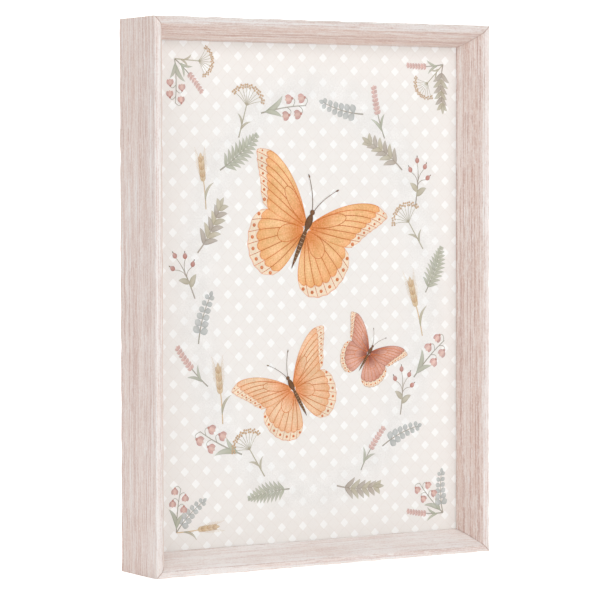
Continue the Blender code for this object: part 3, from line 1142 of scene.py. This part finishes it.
@dataclass
class Wreath:
    """A loose oval wreath of single sprigs that climbs both sides of the sheet from the foot.

    A sprig's places and lengths are in millimetres from its own foot, as it stands upright.
    """

    palette: Palette = field(default_factory=Palette)
    half_width: float = 113.0
    half_height: float = 166.0
    sprigs: int = 24
    foot_share: float = 0.03
    side_share: float = 0.86
    sprig_size: float = 1.2
    size_range: tuple[float, float] = (0.92, 1.1)
    tilt: float = 0.42
    corner: tuple[float, float] = (131.0, 192.0)
    corner_fan: float = 0.72
    wash_half: float = 30.0
    seed: int = 5

    def fern(self, b: Brush) -> None:
        """A frond whose paired leaflets shorten to its tip.

        Args:
            b: The sprig's own brush.
        """
        p = self.palette
        for t, place in b.stem(((0, 0), (2, 16), (-1, 36)), 0.5, 0.2, p.stem, np.linspace(0.14, 0.96, 10)):
            length = 9.5 * math.sin(math.pi * (0.22 + 0.74 * t)) + 1
            b.leaf_pair(place, 58 - 16 * t, length, 1.25, p.sage)

    def lavender(self, b: Brush) -> None:
        """Whorls of small buds on a bare stem.

        Args:
            b: The sprig's own brush.
        """
        p = self.palette
        whorls = b.stem(((0, 0), (-2, 18), (1, 35)), 0.45, 0.3, p.stem, np.linspace(0.5, 1.0, 7))
        b.leaf((-0.6, 5), -32, 13, 1.1, p.sage, bend=-0.1)
        b.leaf((-0.8, 7), 30, 11, 1.0, p.sage, bend=0.1)
        for t, place in whorls:
            for angle in (-52, 0, 52):
                b.leaf(place, angle, 4.2 - 1.2 * t, 1.15, p.rose if angle else p.blush, 2, 0.0)

    def wheat(self, b: Brush) -> None:
        """An ear of grains with fine beards.

        Args:
            b: The sprig's own brush.
        """
        p = self.palette
        b.stroke(((0, 0), (1, 18), (0, 22)), 0.4, 0.4, p.straw)
        b.leaf((0.3, 6), 34, 15, 1.0, p.olive, bend=0.16)
        for row in range(6):
            z = 20 + row * 2.7
            for side in (-1, 1):
                beard = ((side * 1.2, z + 2), (side * 3, z + 7), (side * 4.4, z + 12))
                b.stroke(beard, 0.14, 0.06, p.straw, 1, 5)
                b.leaf((side * 0.3, z), side * 24, 5.2, 1.3, p.ochre if row % 2 else p.straw, 2, 0.08 * side)
        b.leaf((0, 35.5), 0, 5.4, 1.3, p.straw, 2, 0.0)

    def olive(self, b: Brush) -> None:
        """Narrow paired leaves on an arching twig.

        Args:
            b: The sprig's own brush.
        """
        p = self.palette
        pairs = b.stem(((0, 0), (3, 18), (-2, 34)), 0.55, 0.25, p.taupe, np.linspace(0.2, 0.95, 6))
        for i, (t, place) in enumerate(pairs):
            b.leaf_pair(place, 48 - 10 * t, 12.5 - 4 * t, 1.9, p.olive if i % 2 else p.taupe)
        b.leaf((-2, 33.5), -4, 9, 1.7, p.olive, bend=0.0)

    def bells(self, b: Brush) -> None:
        """Hanging bell flowers on arched stalks.

        Args:
            b: The sprig's own brush.
        """
        p = self.palette
        shares = np.array([0.55, 0.68, 0.82, 0.98])
        stalks = b.stem(((0, 0), (-1, 20), (2, 36)), 0.5, 0.25, p.stem, shares)
        b.leaf((-0.4, 4), -28, 17, 1.9, p.sage, bend=-0.12)
        b.leaf((-0.4, 3), 26, 14, 1.7, p.sage, bend=0.1)
        for (_, (x, z)), side in zip(stalks, (1, -1, 1, -1)):
            end = (x + side * 5.5, z + 1.2)
            b.stroke(((x, z), (x + side * 3.5, z + 4.5), end), 0.22, 0.2, p.stem, 0, 7)
            for spread in (-24, 24, 0):
                b.leaf(end, 180 + spread, 6.2, 1.75, p.rose if spread else p.blush, 2, 0.0, 1.25, -0.1)
            b.dot((end[0], end[1] - 0.4), 0.9, p.rust, 3)

    def hips(self, b: Brush) -> None:
        """Forked twigs that end in oval fruits.

        Args:
            b: The sprig's own brush.
        """
        p = self.palette
        b.stroke(((0, 0), (1, 14), (0, 24)), 0.5, 0.35, p.taupe)
        for angle, length in ((-34, 11), (-8, 14), (20, 12), (46, 9)):
            base = (0.3, 18 + abs(angle) * -0.08)
            tip = ahead_of(base, angle, length)
            b.stroke((base, (base[0], base[1] + length * 0.6), tip), 0.3, 0.2, p.taupe, 0, 7)
            b.leaf(tip, angle, 4.6, 1.75, p.rust, 2, 0.0, 0.9)
            b.leaf(ahead_of(tip, angle, 4.3), angle, 1.6, 0.35, p.umber, 3, 0.0)
        b.leaf((0.6, 8), 48, 10, 2.2, p.olive, bend=0.1)
        b.leaf((0.5, 11), -50, 9, 2.0, p.olive, bend=-0.1)

    def seeds(self, b: Brush) -> None:
        """A flat-topped head of fine rays that end in seeds.

        Args:
            b: The sprig's own brush.
        """
        p = self.palette
        head = (0, 22)
        b.stroke(((0, 0), (0, 12), head), 0.45, 0.35, p.olive)
        b.leaf((0, 8), -36, 9, 0.8, p.olive, bend=-0.14)
        b.leaf((0, 5), 40, 10, 0.8, p.olive, bend=0.14)
        for angle in np.linspace(-62, 62, 9):
            tip = ahead_of(head, angle, 13)
            b.stroke((head, (tip[0] * 0.5, tip[1] * 0.5 + 12.5), tip), 0.2, 0.14, p.olive, 0, 6)
            for k in range(4):
                around = math.radians(k * 83 + angle)
                seed = (tip[0] + 1.2 * math.cos(around), tip[1] + 1.2 * math.sin(around))
                b.dot(seed, 0.75, p.ochre, 2)

    def coins(self, b: Brush) -> None:
        """Round silvery leaves in pairs.

        Args:
            b: The sprig's own brush.
        """
        p = self.palette
        pairs = b.stem(((0, 0), (-3, 18), (1, 35)), 0.5, 0.25, p.stem, np.linspace(0.22, 0.93, 6))
        for i, (t, place) in enumerate(pairs):
            b.leaf_pair(place, 62, 7.6 - 3.4 * t, 2.9 - 1.3 * t, p.mist, 1 + i % 2, 0.0, 1.15)
        b.leaf((1, 34.4), 4, 4.4, 1.5, p.mist, 2, 0.0)

    def wash(self, film: InkFilm, rng: np.random.Generator) -> None:
        """A milky ring under the wreath that fades out to both sides and softens the trellis there.

        Args:
            film: The film to paint on.
            rng: Source of its small tint.
        """
        angle = np.linspace(0, 2 * math.pi, 161)
        path = np.stack([self.half_width * np.cos(angle), self.half_height * np.sin(angle)], 1)
        across = np.linspace(-1, 1, 17)
        normal = np.stack([self.half_height * np.cos(angle), self.half_width * np.sin(angle)], 1)
        normal /= np.linalg.norm(normal, axis=1)[:, None]
        place = path[:, None] + across[None, :, None] * self.wash_half * normal[:, None]
        colour = Palette.milk.over(len(path), across, 0.0, rng)
        colour[..., 3] = Palette.milk.strength * (1 - across**2) ** 2
        film.add(place, colour, -1)

    def build(self, film: InkFilm) -> None:
        """Paints a fan of sprigs in each corner, then others at even steps round the oval, each pointing up
        its side and tilted by turns.

        Args:
            film: The film to paint on.
        """
        rng = np.random.default_rng(self.seed)
        kinds = list(Sprig)
        self.wash(film, rng)
        for i, (x, z) in enumerate(((1, 1), (-1, 1), (1, -1), (-1, -1))):
            for j in range(3):
                turn = math.atan2(-z, -x) - math.pi / 2 + (j - 1) * self.corner_fan
                kind = kinds[(i * 3 + j * 5 + 1) % len(kinds)]
                getattr(self, kind.value)(Brush(film, rng, (x * self.corner[0], z * self.corner[1]), turn))
        for k in range(self.sprigs):
            row, side = k // 2, 1 if k % 2 else -1
            share = self.foot_share + self.side_share * (row + 0.5) / (self.sprigs / 2)
            angle = -math.pi / 2 + side * math.pi * share
            c, s = math.cos(angle), math.sin(angle)
            tangent = math.atan2(self.half_height * c * side, -self.half_width * s * side)
            turn = tangent - math.pi / 2 + (self.tilt if row % 2 else -self.tilt) * side
            size = self.sprig_size * rng.uniform(*self.size_range)
            kind = kinds[(k * 3 + k // 8) % len(kinds)]
            at = (self.half_width * c, self.half_height * s)
            getattr(self, kind.value)(Brush(film, rng, at, turn, size))


@dataclass
class Butterfly:
    """A painted butterfly with its wings spread: a wing is a patch ruled from its leading to its hind edge.

    Its edges are Bezier points in millimetres from the middle of its body, for the right wings.
    """

    at: tuple[float, float]
    turn: float
    size: float
    root: Wash
    middle: Wash
    border: Wash
    line: Wash
    fore_lead: tuple = ((3, 11), (26, 44), (56, 60), (80, 55))
    fore_margin: tuple = ((80, 55), (76, 36), (62, 30), (56, 8))
    fore_hind: tuple = ((3, 5), (22, 1), (40, 2), (56, 8))
    hind_lead: tuple = ((3, 4), (22, 9), (42, 8), (55, 1))
    hind_margin: tuple = ((55, 1), (64, -28), (44, -58), (17, -52))
    hind_hind: tuple = ((1.5, -2), (3, -20), (5, -38), (17, -52))
    rows: int = 105
    columns: int = 121
    veins: int = 7
    scallop: float = 0.012
    corner_cut: float = 0.055
    corner_halves: tuple[float, float] = (0.05, 0.07)
    cut_from: float = 0.6
    border_from: float = 0.84
    border_full: float = 0.855
    border_line: float = 0.845
    border_line_half: float = 0.009
    cell_bow: float = 0.05
    cell_from: float = 0.14
    cell_span: float = 0.56
    cell_least: float = 0.04
    cell_rise: float = 0.44
    cell_flatness: float = 0.35
    cell_half: float = 0.36
    vein_half: float = 0.52
    vein_taper: float = 0.26
    shade_from: float = 0.62
    root_reach: tuple[float, float] = (0.02, 0.5)
    root_share: float = 0.85
    vein_shade: float = 0.5
    edge_shade: float = 0.45
    line_share: float = 0.85
    border_thin: float = 0.2
    edge_line_half: float = 0.011
    spot_at: float = 0.925
    spot_most: float = 1.7
    spot_share: float = 0.17

    def wing(self, edges: tuple, u: np.ndarray, v: np.ndarray, side: int) -> np.ndarray:
        """A point at u along and v across is (1 - v) * leading edge + v * hind edge, both at u, plus u times
        the margin's bulge at v, which is the margin less the straight line between its ends. The margin is
        drawn in at its two corners, and a little in each cell.

        Args:
            edges: The leading edge, the margin and the hind edge, as Bezier points.
            u: Places from root to margin, from 0 to 1.
            v: Places from leading to hind edge, of the same shape.
            side: 1 for the right wings and -1 for the left.

        Returns:
            Points, as (..., 2).
        """
        lead, margin, hind = (
            bezier(e, w.ravel()).reshape(w.shape + (2,)) for e, w in zip(edges, (u, v, u))
        )
        along, across = u[..., None], v[..., None]
        line = (1 - across) * np.array(edges[1][0]) + across * np.array(edges[1][-1])
        place = (1 - across) * lead + across * hind + along * (margin - line)
        tip, hind_tip = self.corner_halves
        cut = self.corner_cut * (bell(v, tip) + bell(1 - v, hind_tip))
        wave = self.scallop * np.sin(np.pi * self.veins * v) ** 2 + cut
        drawn_in = 1 - wave * smooth_step(u, self.cut_from, 1.0) ** 2
        return place * drawn_in[..., None] * np.array([side, 1.0])

    def wing_colour(self, u: np.ndarray, v: np.ndarray, rng: np.random.Generator) -> np.ndarray:
        """Deep at the root and paler outward in cells of slightly different tints, with a cream border.

        Each cell ends in a bow, since the border starts at u + cell_bow * near squared, where near is 1
        on a vein and 0 half way between two. A dark line runs along that bow and round the wing's own edge.

        Args:
            u: Places from root to margin, from 0 to 1.
            v: Places from leading to hind edge, of the same shape.
            rng: Source of the cells' tints.

        Returns:
            Colours with strength, as (rows, columns, 4).
        """
        deep, body, dark, pale, line = (
            np.array(linear(code))
            for code in (self.root.rim, self.middle.body, self.middle.rim, self.border.body, self.line.rim)
        )
        cell = v * self.veins
        near = np.abs((cell % 1) - 0.5) * 2
        tints = rng.uniform(0, 0.5, self.veins + 1)[np.minimum(cell.astype(int), self.veins)]
        reach = u + self.cell_bow * near**2
        border = smooth_step(reach, self.border_from, self.border_full)
        outward = smooth_step(reach, self.shade_from, self.border_from)
        rims = bell(reach - self.border_line, self.border_line_half)
        rims = rims + sum(bell(away, self.edge_line_half) for away in (1 - u, v, 1 - v))
        # Each layer's colour and its share at each point, laid over those before it
        layers = (
            (dark, tints),
            (dark, self.vein_shade * near**4 + self.edge_shade * outward),
            (deep, self.root_share * (1 - smooth_step(u, *self.root_reach))),
            (pale, border),
            (line, self.line_share * np.clip(rims, 0, 1)),
        )
        colour = np.broadcast_to(body, u.shape + (4,))
        for tone, share in layers:
            colour = colour * (1 - share[..., None]) + tone * share[..., None]
        colour[..., 3] = self.middle.strength - self.border_thin * border
        return colour

    def cell_reach(self, v: np.ndarray) -> np.ndarray:
        """How far out the long cell at the wing's root goes: a flattened arch between its two side veins."""
        share = np.clip((v - self.cell_from) / self.cell_span, 0, 1)
        return self.cell_least + self.cell_rise * np.sin(np.pi * share) ** self.cell_flatness

    def build(self, film: InkFilm, palette: Palette, rng: np.random.Generator) -> None:
        """Paints both pairs of wings, their veins and spots, and the body.

        Args:
            film: The film to paint on.
            palette: The print's paints.
            rng: Source of small tints.
        """
        brush = Brush(film, rng, self.at, self.turn, self.size)
        u, v = np.meshgrid(np.linspace(0, 1, self.rows), np.linspace(0, 1, self.columns), indexing="ij")
        pairs = (
            ((self.hind_lead, self.hind_margin, self.hind_hind), 0),
            ((self.fore_lead, self.fore_margin, self.fore_hind), 3),
        )
        for edges, layer in pairs:
            for side in (-1, 1):
                film.add(brush.placed(self.wing(edges, u, v, side)), self.wing_colour(u, v, rng), layer)
                for k in range(1, self.veins):
                    start = self.cell_reach(np.array([k / self.veins]))[0]
                    t = np.linspace(start, 0.99, 30)
                    path = self.wing(edges, t, np.full_like(t, k / self.veins), side)
                    brush.ribbon(path, self.vein_half - self.vein_taper * t, palette.vein, layer + 1)
                cell = self.cell_from + self.cell_span * (1 - np.cos(np.linspace(0, np.pi, 60))) / 2
                path = self.wing(edges, self.cell_reach(cell), cell, side)
                brush.ribbon(path, np.full_like(cell, self.cell_half), palette.vein, layer + 1)
                place = np.arange(self.veins * 2 + 1) / (self.veins * 2)
                spots = self.wing(edges, np.full_like(place, self.spot_at), place, side)
                rooms = np.linalg.norm(spots[2::2] - spots[:-2:2], axis=1)
                for spot, room in zip(spots[1::2], rooms):
                    radius = min(self.spot_most, self.spot_share * room)
                    brush.dot(tuple(spot), radius, palette.vein, layer + 2)
        self.body(brush, palette)

    def body(self, brush: Brush, palette: Palette) -> None:
        """Abdomen, thorax, head and feelers.

        Args:
            brush: The butterfly's own frame.
            palette: The print's paints.
        """
        brush.leaf((0, 8), 180, 44, 2.5, palette.umber, 6, 0.0, 0.75, 0.1, 22)
        for z in np.linspace(2, -28, 9):
            brush.stroke(((-1.7, z), (0, z - 0.8), (1.7, z)), 0.22, 0.22, palette.ochre, 7, 5)
        brush.leaf((0, 1), 0, 19, 3.7, palette.umber, 7, 0.0, 1.05, 0.0, 16)
        brush.dot((0, 20.5), 2.6, palette.umber, 8)
        for side in (-1, 1):
            feeler = ((side * 1.0, 22), (side * 5, 36), (side * 17, 50))
            brush.stroke(feeler, 0.32, 0.24, palette.umber, 7, 16)
            brush.leaf((side * 15.6, 48.4), side * 42, 4.2, 0.75, palette.umber, 8, 0.0)


@dataclass
class Picture:
    """The printed sheet: its paper and what is painted on it."""

    ink: WatercolourInk = field(default_factory=WatercolourInk)
    palette: Palette = field(default_factory=Palette)
    wreath: Wreath = field(default_factory=Wreath)
    wing_seed: int = 17

    def butterflies(self) -> dict[str, Butterfly]:
        """Sets each butterfly in its place, with its own paints.

        Returns:
            The three butterflies by name.
        """
        p, turn = self.palette, math.radians
        return {
            "large": Butterfly((-8, 50), turn(-24), 0.90, p.orange, p.peach, p.cream, p.orange),
            "middle": Butterfly((-18, -82), turn(30), 0.66, p.orange, p.blush_wing, p.cream, p.orange),
            "small": Butterfly((54, -54), turn(-34), 0.44, p.rust, p.dusk_wing, p.cream, p.rust),
        }

    def build(self) -> list[Object]:
        """Dresses the sheet and lays the painted films on it.

        Returns:
            The pieces.
        """
        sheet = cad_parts["print_sheet"]
        sheet.data.materials.clear()
        sheet.data.materials.append(self.ink.paper.material())
        front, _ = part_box("print_sheet")
        origin = (0.0, (CAD_LOW.z + CAD_HIGH.z) / 2)
        ink = self.ink.material()
        wreath_film = InkFilm("painted_wreath", origin, front.y)
        self.wreath.build(wreath_film)
        pieces = [sheet, wreath_film.finish(ink)]
        for name, butterfly in self.butterflies().items():
            film = InkFilm("painted_butterfly_" + name, origin, front.y)
            butterfly.build(film, self.palette, np.random.default_rng(self.wing_seed))
            pieces.append(film.finish(ink))
        return pieces


@dataclass
class BackFittings:
    """What holds the print from behind and hangs the frame."""

    board: Hardboard = field(default_factory=Hardboard)
    tabs: PlatedSteel = PlatedSteel("zinc_steel", "#B9BBBD", "#93979B")
    hanger: PlatedSteel = PlatedSteel("brassed_steel", "#CFA961", "#A9823F")

    def build(self) -> list[Object]:
        """Dresses the board, the tabs, the hanger and its nails.

        Returns:
            The pieces.
        """
        kinds = {"backing": self.board, "tab": self.tabs, "hanger": self.hanger}
        finishes = {kind: finish.material() for kind, finish in kinds.items()}
        pieces = []
        for name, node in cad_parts.items():
            finish = finishes.get(name.split("_")[0])
            if finish:
                node.data.materials.clear()
                node.data.materials.append(finish)
                pieces.append(node)
        return pieces


@dataclass(frozen=True)
class SoftLight:
    """A square soft light that looks at one point, the middle of the frame unless told."""

    name: str
    place: tuple[float, float, float]
    size: float
    watts: float
    aim: tuple[float, float, float] = (0.0, 0.0, 0.22)

    def build(self) -> None:
        """Hangs the light."""
        data = bpy.data.lights.new(self.name, "AREA")
        data.size = self.size
        data.energy = self.watts
        obj = bpy.data.objects.new(self.name, data)
        bpy.context.scene.collection.objects.link(obj)
        obj.location = self.place
        away = Vector(self.place) - Vector(self.aim)
        obj.rotation_euler = away.to_track_quat("Z", "Y").to_euler()


@dataclass
class Studio:
    """A white sweep, soft lights and the camera at the photograph's angle."""

    lens_mm: float = 173.12
    sensor_mm: float = 36.0
    yaw: float = -31.651
    pitch: float = -2.479
    roll: float = 0.103
    place: tuple[float, float, float] = (-1.2691, -2.0447, 0.3230)
    glow: float = 0.31
    seen_glow: float = 0.70
    air: float = 0.02
    seen_air: float = 1.0
    floor_near: float = -9.0
    floor_far: float = 0.9
    bend_radius: float = 0.6
    wall_top: float = 3.0
    half_width: float = 6.0
    lights: tuple[SoftLight, ...] = (
        SoftLight("key", (1.4, -2.5, 2.1), 1.7, 47),
        SoftLight("fill", (-2.2, -1.3, 1.5), 1.6, 20.3),
        SoftLight("front", (-0.5, -2.5, 0.4), 1.0, 6),
        SoftLight("top", (0.1, -0.1, 2.4), 1.6, 8),
        SoftLight("backdrop", (0.5, 0.7, 2.4), 1.8, 12, aim=(0.9, 1.4, 0.2)),
    )

    @staticmethod
    def seen(tree: NodeTree, lit: float, shown: float) -> Node:
        """One strength for the light that falls on the object and another for what the camera sees.

        Args:
            tree: A material's nodes, or the world's.
            lit: What falls on the object.
            shown: What the camera sees.

        Returns:
            The strength.
        """
        add = partial(add_node, tree)
        camera = add("LightPath").outputs["Is Camera Ray"]
        return add("MapRange", {"Value": camera, TO_LOW: lit, TO_HIGH: shown})

    def sweep(self) -> Object:
        """Floor and backdrop in one: a floor line, a quarter circle and a wall, carried sideways.

        It is clear from behind, so that it doesn't hide the back of the object from a camera there.

        Returns:
            The sweep.
        """
        angle = np.linspace(0, math.pi / 2, 24)
        back = self.floor_far + self.bend_radius
        bend = np.stack(
            [self.floor_far + self.bend_radius * np.sin(angle), self.bend_radius * (1 - np.cos(angle))], 1
        )
        profile = np.concatenate([[(self.floor_near, 0.0)], bend, [(back, self.wall_top)]])
        sides = (-self.half_width, self.half_width)
        points = np.array([[(x, y, z) for x in sides] for y, z in profile]).reshape(-1, 3)
        obj = mesh_from("studio_sweep", points, grid_quads(len(profile), 2))
        material, tree, shader = blank_material("white_paper_sweep")
        add = partial(add_node, tree)
        paper = {"Base Color": linear("#FAFAFA"), "Roughness": 0.95, "Specular IOR Level": 0.1}
        glow = self.seen(tree, self.glow, self.seen_glow)
        feed(tree, shader, {**paper, "Emission Color": linear("#FFFFFF"), "Emission Strength": glow})
        behind = add("NewGeometry").outputs["Backfacing"]
        clear = add("BsdfTransparent")
        mixed = add("MixShader", {0: behind, 1: shader, 2: clear})
        feed(tree, tree.nodes["Material Output"], {"Surface": mixed})
        obj.data.materials.append(material)
        return obj

    def camera(self) -> None:
        """Stands the camera where the photograph was taken from."""
        data = bpy.data.cameras.new("camera")
        data.lens = self.lens_mm
        data.sensor_width = self.sensor_mm
        data.clip_start = 0.05
        obj = bpy.data.objects.new("camera", data)
        bpy.context.scene.collection.objects.link(obj)
        turned = (
            Matrix.Rotation(math.radians(self.yaw), 3, "Z")
            @ Matrix.Rotation(math.radians(self.pitch), 3, "X")
            @ Matrix.Rotation(math.radians(self.roll), 3, "Y")
        )
        right, ahead, up = (turned @ Vector(axis) for axis in ((1, 0, 0), (0, 1, 0), (0, 0, 1)))
        axes = Matrix((right, up, -ahead)).transposed().to_4x4()
        obj.matrix_world = Matrix.Translation(self.place) @ axes
        bpy.context.scene.camera = obj

    def build(self) -> None:
        """Sets the whole stage."""
        self.sweep()
        for light in self.lights:
            light.build()
        world = bpy.data.worlds.new("studio_air")
        world.use_nodes = True
        tree = world.node_tree
        air = {"Color": (1, 1, 1, 1), "Strength": self.seen(tree, self.air, self.seen_air)}
        feed(tree, tree.nodes["Background"], air)
        bpy.context.scene.world = world
        bpy.context.scene.view_settings.view_transform = "Standard"
        self.camera()


def main() -> None:
    """Builds the stage and every sub-assembly in turn."""
    logging.basicConfig(level=logging.INFO, format="%(name)s: %(message)s")
    Studio().build()
    for assembly in (BoxFrame(), Picture(), BackFittings()):
        for piece in assembly.build():
            LOG.info("%s: %s, %d faces", type(assembly).__name__, piece.name, len(piece.data.polygons))


if __name__ == "__main__":
    main()
